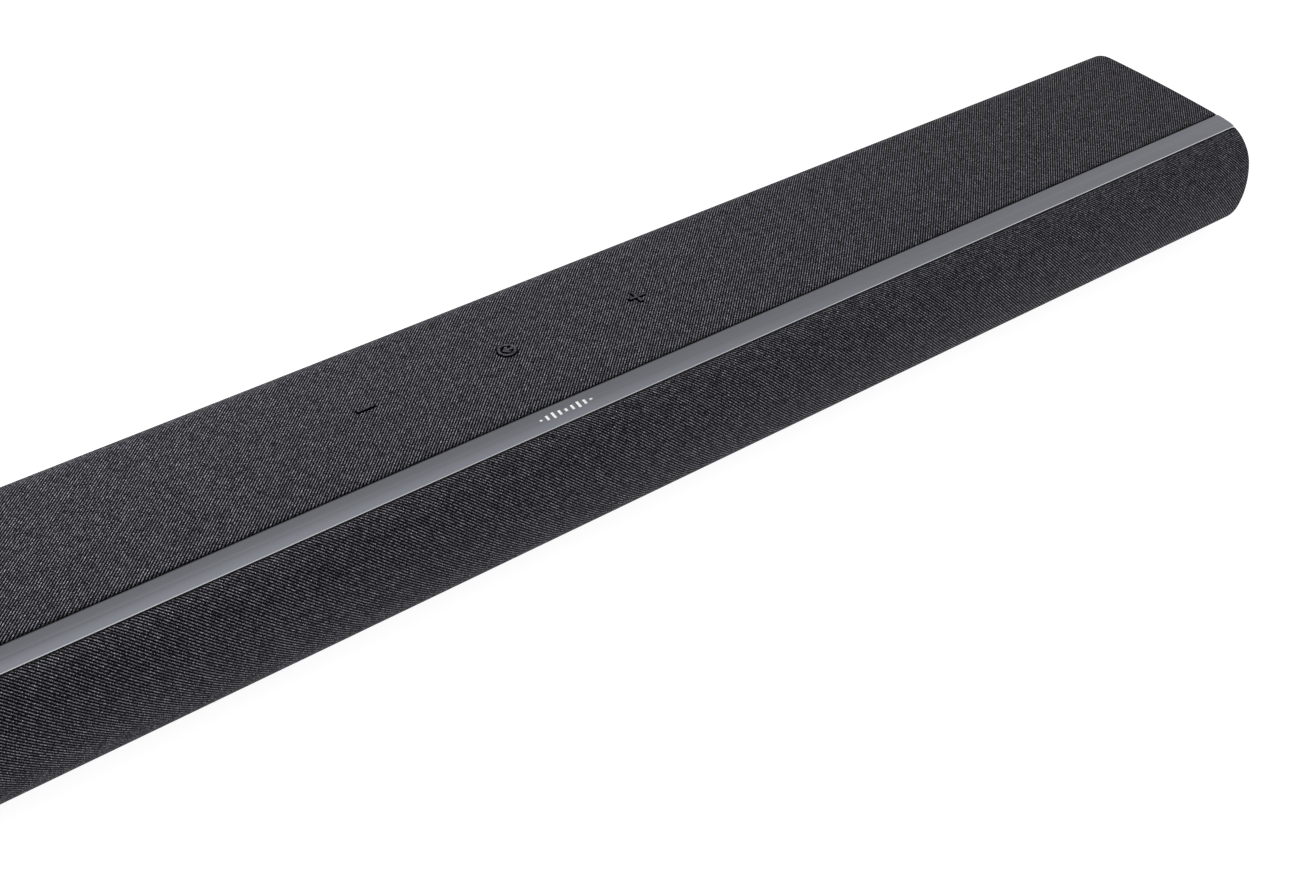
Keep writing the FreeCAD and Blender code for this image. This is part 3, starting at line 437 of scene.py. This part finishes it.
def arc(centre, radius, start, stop, step):
    """Points along an arc, about step apart, with their outward normals."""
    count = max(2, math.ceil(abs(math.radians(stop - start)) * radius / step))
    turns = [start + (stop - start) * k / count for k in range(count + 1)]
    return [(polar(centre, radius, t), polar((0, 0), 1, t)) for t in turns]


def line(a, b, normal, step):
    a, b = Vector(a), Vector(b)
    count = max(1, math.ceil((b - a).length / step))
    return [(a.lerp(b, k / count), Vector(normal)) for k in range(count + 1)]


def chain(*runs):
    """Runs joined end to end, without their doubled points."""
    out = list(runs[0])
    for run in runs[1:]:
        out += run[1:]
    return out


def top_path(gap, step):
    """Outer skin from behind the strip, over the crown and down the back."""
    return chain(
        arc(CROWN, CROWN_R, STRIP_TOP_DEG - math.degrees(gap / CROWN_R), CROWN_BACK_DEG, step),
        arc(BACK_TOP, BACK_TOP_R, CROWN_BACK_DEG, 0, min(step, 1.0)),
        line((DEPTH / 2, BACK_TOP[1]), (DEPTH / 2, PART_LINE_Z + gap), (1, 0), step),
    )


def front_path(gap, step):
    """Outer skin from below the strip, round the front to the underside."""
    return chain(
        arc(FRONT_TOP, FRONT_TOP_R, STRIP_LOW_DEG + math.degrees(gap / FRONT_TOP_R), FRONT_TOP_DEG, step),
        arc(FRONT, FRONT_R, FRONT_TOP_DEG, FRONT_LOW_DEG, step),
        arc(FRONT_BOTTOM, FRONT_BOTTOM_R, FRONT_LOW_DEG, 270, step),
        line((FRONT_BOTTOM[0], FOOT_PROUD), (PART_LINE_Y - gap, FOOT_PROUD), (0, -1), step),
    )


def strip_path(grow, step):
    """Outer skin across the strip, from its upper to its lower edge."""
    return chain(
        arc(CROWN, CROWN_R, STRIP_TOP_DEG - math.degrees(grow / CROWN_R), CROWN_FRONT_DEG, step),
        arc(FRONT_TOP, FRONT_TOP_R, CROWN_FRONT_DEG, STRIP_LOW_DEG + math.degrees(grow / FRONT_TOP_R), step),
    )


def inset(path, depth):
    """A path's points, moved inwards by depth."""
    return [point - normal * depth for point, normal in path]


def lengths(path):
    """Running length along a path at each of its points."""
    out = [0.0]
    for (a, _), (b, _) in zip(path, path[1:]):
        out.append(out[-1] + (b - a).length)
    return out


# ---- mesh building -------------------------------------------------------------------
def make(name, mesh, body, slot, *materials):
    """Turn a mesh drawn in millimetres into a piece in metres that rides on a body, if one is given."""
    mesh.transform(Matrix.Scale(MM, 4))
    piece = bpy.data.objects.new(name, mesh)
    bpy.context.scene.collection.objects.link(piece)
    for material in materials:
        mesh.materials.append(material)
    if body:
        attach(piece, body)
    return piece


def as_mesh(bm, name):
    """The mesh of a bmesh, which is used up."""
    mesh = bpy.data.meshes.new(name)
    bm.to_mesh(mesh)
    bm.free()
    return mesh


def sleeve(name, path, thick, stations, hem):
    """A closed skin of even thickness along a path, swept over X stations with rounded hems.

    stations: (x, drop) pairs; drop lowers the outer face, which rounds the two ends.
    The weave map holds millimetres along the bar and along the path."""
    run = lengths(path)
    total = run[-1]
    bm = bmesh.new()
    weave = bm.loops.layers.uv.new("weave")
    rows = []
    for x, drop in stations:
        outer, inner = [], []
        for (point, normal), s in zip(path, run):
            edge = min(s, total - s)
            fall = hem - math.sqrt(max(hem * hem - max(hem - edge, 0.0) ** 2, 0.0))
            top = min(max(drop, fall), thick * 0.5)
            low = thick - min(max(fall, 0.0), thick * 0.45)
            outer.append(bm.verts.new((x, *(point - normal * top))))
            inner.append(bm.verts.new((x, *(point - normal * low))))
        rows.append((outer, inner))
    along = dict()
    for (outer, inner), (x, _) in zip(rows, stations):
        for side in (outer, inner):
            for vert, s in zip(side, run):
                along[vert] = (x, s)

    def face(*verts):
        made = bm.faces.new(verts)
        made.smooth = True
        for loop in made.loops:
            loop[weave].uv = along[loop.vert]

    last = len(path) - 1
    for (o0, i0), (o1, i1) in zip(rows, rows[1:]):
        for k in range(last):
            face(o0[k], o0[k + 1], o1[k + 1], o1[k])
            face(i0[k], i1[k], i1[k + 1], i0[k + 1])
        face(o0[0], o1[0], i1[0], i0[0])
        face(o0[last], i0[last], i1[last], o1[last])
    for (outer, inner), flip in ((rows[0], False), (rows[-1], True)):
        for k in range(last):
            quad = (outer[k], inner[k], inner[k + 1], outer[k + 1])
            face(*(quad[::-1] if flip else quad))
    bmesh.ops.recalc_face_normals(bm, faces=bm.faces)
    return as_mesh(bm, name)


def end_stations(half, step, soft):
    """X stations from -half to half, with the ends rounded over a radius of soft."""
    turns = [math.radians(t) for t in range(0, 91, 15)]
    inner = half - soft
    count = round(2 * inner / step)
    middle = [(-inner + 2 * inner * k / count, 0.0) for k in range(1, count)]
    left = [(-half + soft * (1 - math.cos(t)), soft * (1 - math.sin(t))) for t in turns]
    return left + middle + [(-x, f) for x, f in left[::-1]]


def finished(piece):
    """The piece's mesh with its modifiers applied."""
    bpy.context.view_layer.update()
    depsgraph = bpy.context.evaluated_depsgraph_get()
    mesh = bpy.data.meshes.new_from_object(piece.evaluated_get(depsgraph), depsgraph=depsgraph)
    bpy.data.objects.remove(piece)
    return mesh


def loose(mesh):
    """A helper object for modifiers, still in millimetres."""
    helper = bpy.data.objects.new(mesh.name, mesh)
    bpy.context.scene.collection.objects.link(helper)
    return helper


def combine(base, tools, operation):
    """Boolean of a mesh with others; the tools are used up."""
    work = loose(base)
    helpers = []
    for tool in tools:
        helper = loose(tool)
        helpers.append(helper)
        modifier = work.modifiers.new("cut", "BOOLEAN")
        modifier.operation, modifier.solver, modifier.object = operation, "EXACT", helper
    mesh = finished(work)
    for helper in helpers:
        bpy.data.objects.remove(helper)
    return mesh


def slab(x0, x1, y0, y1, z0, z1, turn=None):
    """A box; turn = (pivot, degrees) turns it about an upright axis."""
    bm = bmesh.new()
    bmesh.ops.create_cube(bm, size=1.0)
    scale = Matrix.Diagonal((x1 - x0, y1 - y0, z1 - z0, 1.0))
    spot = Matrix.Translation(((x0 + x1) / 2, (y0 + y1) / 2, (z0 + z1) / 2))
    bm.transform(spot @ scale)
    if turn:
        pivot, degrees = turn
        shift = Matrix.Translation(pivot)
        bm.transform(shift @ Matrix.Rotation(math.radians(degrees), 4, "Z") @ shift.inverted())
    return as_mesh(bm, "slab")


def lathe(profile, x, y, count=64):
    """Closed solid of revolution about an upright axis.

    profile: (radius, z) pairs, from axis to axis for a solid body, or all round the section of a ring."""
    bm = bmesh.new()
    rings = []
    for radius, z in profile:
        if radius == 0:
            rings.append([bm.verts.new((x, y, z))] * count)
        else:
            turns = [2 * math.pi * k / count for k in range(count)]
            rings.append([bm.verts.new((x + radius * math.cos(t), y + radius * math.sin(t), z))
                          for t in turns])
    for low, high in zip(rings, rings[1:] + (rings[:1] if profile[0][0] else [])):
        for k in range(count):
            m = (k + 1) % count
            corners = []
            for vert in (low[k], low[m], high[m], high[k]):
                if vert not in corners:
                    corners.append(vert)
            if len(corners) > 2:
                bm.faces.new(corners)
    bmesh.ops.recalc_face_normals(bm, faces=bm.faces)
    return as_mesh(bm, "lathe")


def softened(mesh, width, segments=3, angle=35):
    """Round off the mesh's sharp edges."""
    work = loose(mesh)
    bevel = work.modifiers.new("soft", "BEVEL")
    bevel.width, bevel.segments, bevel.limit_method = width, segments, "ANGLE"
    bevel.angle_limit = math.radians(angle)
    bevel.miter_outer = "MITER_ARC"
    out = finished(work)
    for polygon in out.polygons:
        polygon.use_smooth = polygon.area < LARGE_FACE
    out.set_sharp_from_angle(angle=math.radians(SHARP_DEG))
    return out


# ---- cloth ---------------------------------------------------------------------------
def mark(kind, x, grow, z0, z1):
    """The raised mark of a key, as one upright solid; grow widens every stroke."""
    half, stroke = MARK_SIZE / 2 + grow, MARK_STROKE / 2 + grow
    flat = slab(x - half, x + half, KEY_Y - stroke, KEY_Y + stroke, z0, z1)
    if kind == "minus":
        return flat
    if kind == "plus":
        return combine(flat, [slab(x - stroke, x + stroke, KEY_Y - half, KEY_Y + half, z0, z1)], "UNION")
    ring_out, ring_in = RING_R + grow, RING_R - MARK_STROKE - grow
    ring = lathe([(ring_in, z0), (ring_out, z0), (ring_out, z1), (ring_in, z1)], x, KEY_Y)
    tip = (x - ARROW_TIP, KEY_Y, 0)
    parts = [slab(tip[0], x + RING_R - ARROW_SHORT, KEY_Y - stroke, KEY_Y + stroke, z0, z1)]
    for degrees in (-45, 45):
        parts.append(slab(tip[0] - stroke, tip[0] + ARROW_HEAD + grow, KEY_Y - stroke, KEY_Y + stroke,
                          z0, z1, turn=(tip, degrees)))
    return combine(ring, parts, "UNION")


def make_cloths(cloth):
    """Both cloth skins. The arrow's and ring's islands in the top one go with the source key."""
    ends = end_stations(HALF, 4.0, END_ROUND)
    path = top_path(CLOTH_GAP, 2.5)
    width = lengths(path)[-1]
    through = 3.0
    holes = [mark(kind, x, MARK_GAP, CROWN_Z - through, CROWN_Z + through) for kind, x in KEYS.items()]
    mesh = combine(sleeve("top_cloth", path, CLOTH, ends, HEM), holes, "DIFFERENCE")
    whole, islands = split_off(mesh)
    top = make("top_cloth", whole, "housing", "cloth", cloth)
    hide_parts("top_fabric")
    inlay = make("source_key_cloth", islands, "source_key", "cloth", cloth)
    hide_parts("source_key_inlay")
    path = front_path(CLOTH_GAP, 1.5)
    width = lengths(path)[-1]
    front = make("front_cloth", sleeve("front_cloth", path, CLOTH, ends, HEM), "housing", "cloth", cloth)
    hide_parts("front_fabric")


def split_off(mesh):
    """(largest connected part, all the small ones) of a mesh, as two meshes."""
    out = []
    bm = bmesh.new()
    bm.from_mesh(mesh)
    left, parts = set(bm.verts), []
    while left:
        seed = left.pop()
        group, edge = {seed}, [seed]
        while edge:
            vert = edge.pop()
            for link in vert.link_edges:
                other = link.other_vert(vert)
                if other in left:
                    left.discard(other)
                    group.add(other)
                    edge.append(other)
        parts.append(group)
    parts.sort(key=len)
    small = {v.index for group in parts[:-1] for v in group}
    bm.free()
    for keep_small in (False, True):
        bm = bmesh.new()
        bm.from_mesh(mesh)
        drop = [v for v in bm.verts if (v.index in small) != keep_small]
        bmesh.ops.delete(bm, geom=drop, context="VERTS")
        out.append(as_mesh(bm, mesh.name))
    return out


# ---- strip, keys, end caps -----------------------------------------------------------
def strip_face():
    """The strip's outer line; its bend begins gently, as each point is the mean of its neighbours."""
    wide = strip_path(STRIP_EASE, STRIP_STEP)
    reach = round(STRIP_EASE / STRIP_STEP)
    out = []
    for k in range(reach, len(wide) - reach):
        near = wide[k - reach:k + reach + 1]
        point = sum((p for p, _ in near), Vector((0, 0))) / len(near)
        out.append((point, sum((n for _, n in near), Vector((0, 0))).normalized()))
    return out


def make_strip(metal, edge):
    """Metal strip with a satin face, and a bright shallow chamfer along its lower edge."""
    path = strip_face()
    run = lengths(path)
    first, first_normal = path[0]
    last, last_normal = path[-1]
    down = Vector((-last_normal.y, last_normal.x))
    face = [point for (point, _), s in zip(path, run) if EDGE_ROUND < s < run[-1] - CHAMFER_WIDE]
    loop = face + [last - down * CHAMFER_WIDE, last - last_normal * CHAMFER_DEEP,
                   last - last_normal * STRIP_T, first - first_normal * STRIP_T,
                   first - first_normal * EDGE_ROUND]
    bright = len(face)                                  # the loop's side that is the chamfer
    stations = [(-HALF, EDGE_ROUND), (-HALF + EDGE_ROUND, 0.0), (HALF - EDGE_ROUND, 0.0), (HALF, EDGE_ROUND)]
    centre = sum(loop, Vector((0, 0))) / len(loop)
    bm = bmesh.new()
    rows = []
    for x, inset in stations:
        rows.append([bm.verts.new((x, *(p + (centre - p).normalized() * inset))) for p in loop])
    for a, b in zip(rows, rows[1:]):
        for k in range(len(loop)):
            m = (k + 1) % len(loop)
            made = bm.faces.new((a[k], a[m], b[m], b[k]))
            made.smooth = k < bright and a is rows[1]
            made.material_index = int(k == bright)
    for row in (rows[0], rows[-1]):
        bm.faces.new(row)
    bmesh.ops.recalc_face_normals(bm, faces=bm.faces)
    mesh = as_mesh(bm, "strip")
    piece = make("metal_strip", mesh, "housing", "trim", metal, edge)
    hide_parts("trim_strip")


def make_level_mark(paint):
    """A printed row of level bars, a plain generic mark, along the middle of the strip."""
    path = strip_face()
    run = lengths(path)
    middle = run[-1] / 2
    bm = bmesh.new()
    for k, tall in enumerate(LEVELS):
        x = (k - (len(LEVELS) - 1) / 2) * LEVEL_PITCH
        section = [(p + n * PRINT_PROUD, n) for (p, n), s in zip(path, run) if abs(s - middle) < tall / 2]
        ends = [(x - LEVEL_WIDE / 2, 0.0), (x + LEVEL_WIDE / 2, 0.0)]
        bm.from_mesh(sleeve("bar", section, 4 * PRINT_PROUD, ends, PRINT_PROUD))
    mesh = as_mesh(bm, "level_mark")
    make("level_mark", mesh, "housing", "trim", paint)


def make_keys(material):
    """A stem, a flange under the cover and a round face, with the mark standing on it."""
    for kind, x in KEYS.items():
        low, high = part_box(kind + "_key")
        top, foot = high.z / MM, low.z / MM
        face = CROWN_Z - CLOTH - KEY_DROP
        flange = CROWN_Z - CLOTH - GLUE - COVER_T - KEY_SLACK
        under = flange - KEY_FLANGE_T
        base = lathe([(0, foot), (STEM_R, foot), (STEM_R, under), (KEY_FLANGE_R, under),
                      (KEY_FLANGE_R, flange), (KEY_R, flange), (KEY_R, face), (0, face)], x, KEY_Y)
        sunk = 0.3
        raised = softened(mark(kind, x, 0, face - sunk, top), MARK_SOFT)
        bm = bmesh.new()
        bm.from_mesh(softened(base, KEY_SOFT))
        bm.from_mesh(raised)
        mesh = as_mesh(bm, kind)
        piece = make(kind + "_button", mesh, kind + "_key", "key", material)
        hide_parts(kind + "_key")


def make_end_caps(material):
    """Moulded plates that close the ends, with rounded rims inside the cloth's lip."""
    skin = CLOTH + GLUE
    corner = (DEPTH / 2 - BACK_BOTTOM_R, FOOT_PROUD + BACK_BOTTOM_R)
    bare = chain(
        line((DEPTH / 2, PART_LINE_Z - CAP_GAP), (DEPTH / 2, corner[1]), (1, 0), 4.0),
        arc(corner, BACK_BOTTOM_R, 0, -90, 0.8),
        line((corner[0], FOOT_PROUD), (PART_LINE_Y + CAP_GAP, FOOT_PROUD), (0, -1), 8.0),
    )
    outer = inset(top_path(CAP_GAP, 2.0), skin) + inset(bare, 0)
    outer += inset(front_path(CAP_GAP, 1.2), skin)[::-1]
    outer += inset(strip_path(CAP_STRIP_GAP, 1.0), STRIP_T + GLUE)[::-1]
    for name, sign in (("left", -1), ("right", 1)):
        low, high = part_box(name + "_end_cap")
        face = (low.x if sign < 0 else high.x) / MM
        back = face - sign * CAP_T
        bm = bmesh.new()
        rows = [[bm.verts.new((x, p.x, p.y)) for p in outer] for x in (back, face)]
        count = len(outer)
        for k in range(count):
            m = (k + 1) % count
            bm.faces.new((rows[0][k], rows[0][m], rows[1][m], rows[1][k]))
        for row in rows:
            bm.faces.new(row)
        bmesh.ops.recalc_face_normals(bm, faces=bm.faces)
        mesh = as_mesh(bm, name)
        piece = make(name + "_cap", softened(mesh, CAP_SOFT, 4, 50), "housing", "end_cap", material)
        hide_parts(name + "_end_cap")


# ---- loudspeakers --------------------------------------------------------------------
def racetrack_ring(profile, x, z, straight, turns=72):
    """A closed profile of (distance out, y) carried round two half circles and two straights."""
    bm = bmesh.new()
    rows = []
    for k in range(turns):
        angle = 2 * math.pi * (k + 0.5) / turns
        across, up = math.cos(angle), math.sin(angle)
        end = x + math.copysign(straight / 2, across)
        rows.append([bm.verts.new((end + r * across, y, z + r * up)) for r, y in profile])
    for a, b in zip(rows, rows[1:] + rows[:1]):
        for i in range(len(profile)):
            bm.faces.new((a[i - 1], a[i], b[i], b[i - 1])).smooth = True
    bmesh.ops.recalc_face_normals(bm, faces=bm.faces)
    return as_mesh(bm, "ring")


def make_surrounds(rubber):
    """Surrounds that span from basket to cone, and the spiders round the coils."""
    for name in sorted(node for node in frame["nodes"] if node.endswith("suspension")):
        low, high = (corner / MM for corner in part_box(name))
        x, z, straight = (low.x + high.x) / 2, (low.z + high.z) / 2, (high.x - low.x) - (high.z - low.z)
        cone = name.replace("suspension", "cone")
        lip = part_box(cone)[0].y / MM
        ring = racetrack_ring([(r, lip + depth) for r, depth in ROLL], x, z, straight)
        roll = make(name.replace("suspension", "surround"), ring, None, "rubber", rubber)
        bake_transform(roll)
        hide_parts(name)
        flat = [(SPIDER_IN, high.y - SPIDER_T), (SPIDER_OUT, high.y - SPIDER_T), (SPIDER_OUT, high.y),
                (SPIDER_IN, high.y)]
        make(name.replace("suspension", "spider"), racetrack_ring(flat, x, z, 0), "housing", "rubber", rubber)


# ---- the CAD nodes and the scene -----------------------------------------------------
def dress_frame():
    """Materials for the CAD nodes that show or sit inside as they are."""
    shell = moulded("shell_plastic", (0.012, 0.012, 0.013), (0.022, 0.022, 0.024))
    rubber = moulded("rubber", (0.008, 0.008, 0.008), (0.016, 0.016, 0.016), 0.75, 900.0, 0.00005)
    foam = moulded("foam", (0.02, 0.02, 0.02), (0.05, 0.05, 0.05), 0.9, 1500.0, 0.0002)
    inner = moulded("inner_plastic", (0.018, 0.018, 0.018), (0.03, 0.03, 0.03), 0.5, 700.0)
    gloss = moulded("gloss_plastic", (0.010, 0.010, 0.010), (0.016, 0.016, 0.016), 0.22, 2500.0, 0.00001)
    red = moulded("plunger_plastic", (0.35, 0.04, 0.02), (0.45, 0.06, 0.03), 0.4, 1500.0)
    paper = moulded("coated_paper", (0.03, 0.03, 0.034), (0.07, 0.07, 0.075), 0.65, 500.0, 0.0001)
    silk = moulded("doped_silk", (0.02, 0.02, 0.02), (0.05, 0.05, 0.05), 0.6, 3000.0, 0.0001)
    sleeve_film = moulded("capacitor_sleeve", (0.02, 0.02, 0.05), (0.03, 0.03, 0.08), 0.3, 800.0)
    ferrite = moulded("ferrite", (0.04, 0.04, 0.042), (0.08, 0.08, 0.08), 0.6, 900.0)
    iron = turned("motor_steel", (0.05, 0.05, 0.055), (0.12, 0.12, 0.125), 0.45)
    steel = turned("socket_steel", (0.50, 0.50, 0.50), (0.62, 0.62, 0.62), 0.3)
    black_zinc = turned("black_zinc", (0.06, 0.06, 0.065), (0.12, 0.12, 0.125), 0.35)
    brass = turned("brass", (0.60, 0.40, 0.16), (0.75, 0.54, 0.26), 0.3)
    heatsink = turned("heatsink", (0.35, 0.35, 0.36), (0.48, 0.48, 0.49), 0.4)
    finishes = {
        "shell": shell, "rubber": rubber, "foam": foam, "inner_plastic": inner, "basket": inner,
        "plunger": red, "circuit_board": circuit_board(), "switch_body": gloss, "chip": gloss,
        "heatsink": heatsink, "ferrite": ferrite, "capacitor": sleeve_film, "socket_plastic": gloss,
        "socket_metal": steel, "cable": rubber, "brass": brass, "screw": black_zinc, "magnet": iron,
        "cone": paper, "dome": silk, "end_cap": shell, "key": rubber, "cloth": rubber, "trim": steel,
    }
    for row in frame["record"]["subparts"]:
        mesh = frame["nodes"][row["node"]].data
        mesh.materials.clear()
        mesh.materials.append(finishes[row["material_slot"]])


make_camera()
make_studio()
dress_frame()
make_cloths(twill_cloth())
make_strip(anodised("anodised_strip", (0.182, 0.190, 0.213), (0.224, 0.232, 0.258), 0.40),
           anodised("machined_edge", (0.70, 0.71, 0.75), (0.80, 0.81, 0.85), 0.25))
make_surrounds(moulded("surround_rubber", (0.010, 0.010, 0.010), (0.020, 0.020, 0.020), 0.6))
make_level_mark(moulded("white_print", (0.70, 0.70, 0.70), (0.80, 0.80, 0.80), 0.5))
make_keys(key_cap())
make_end_caps(moulded("end_cap_plastic", (0.014, 0.014, 0.015), (0.024, 0.024, 0.026), 0.45))
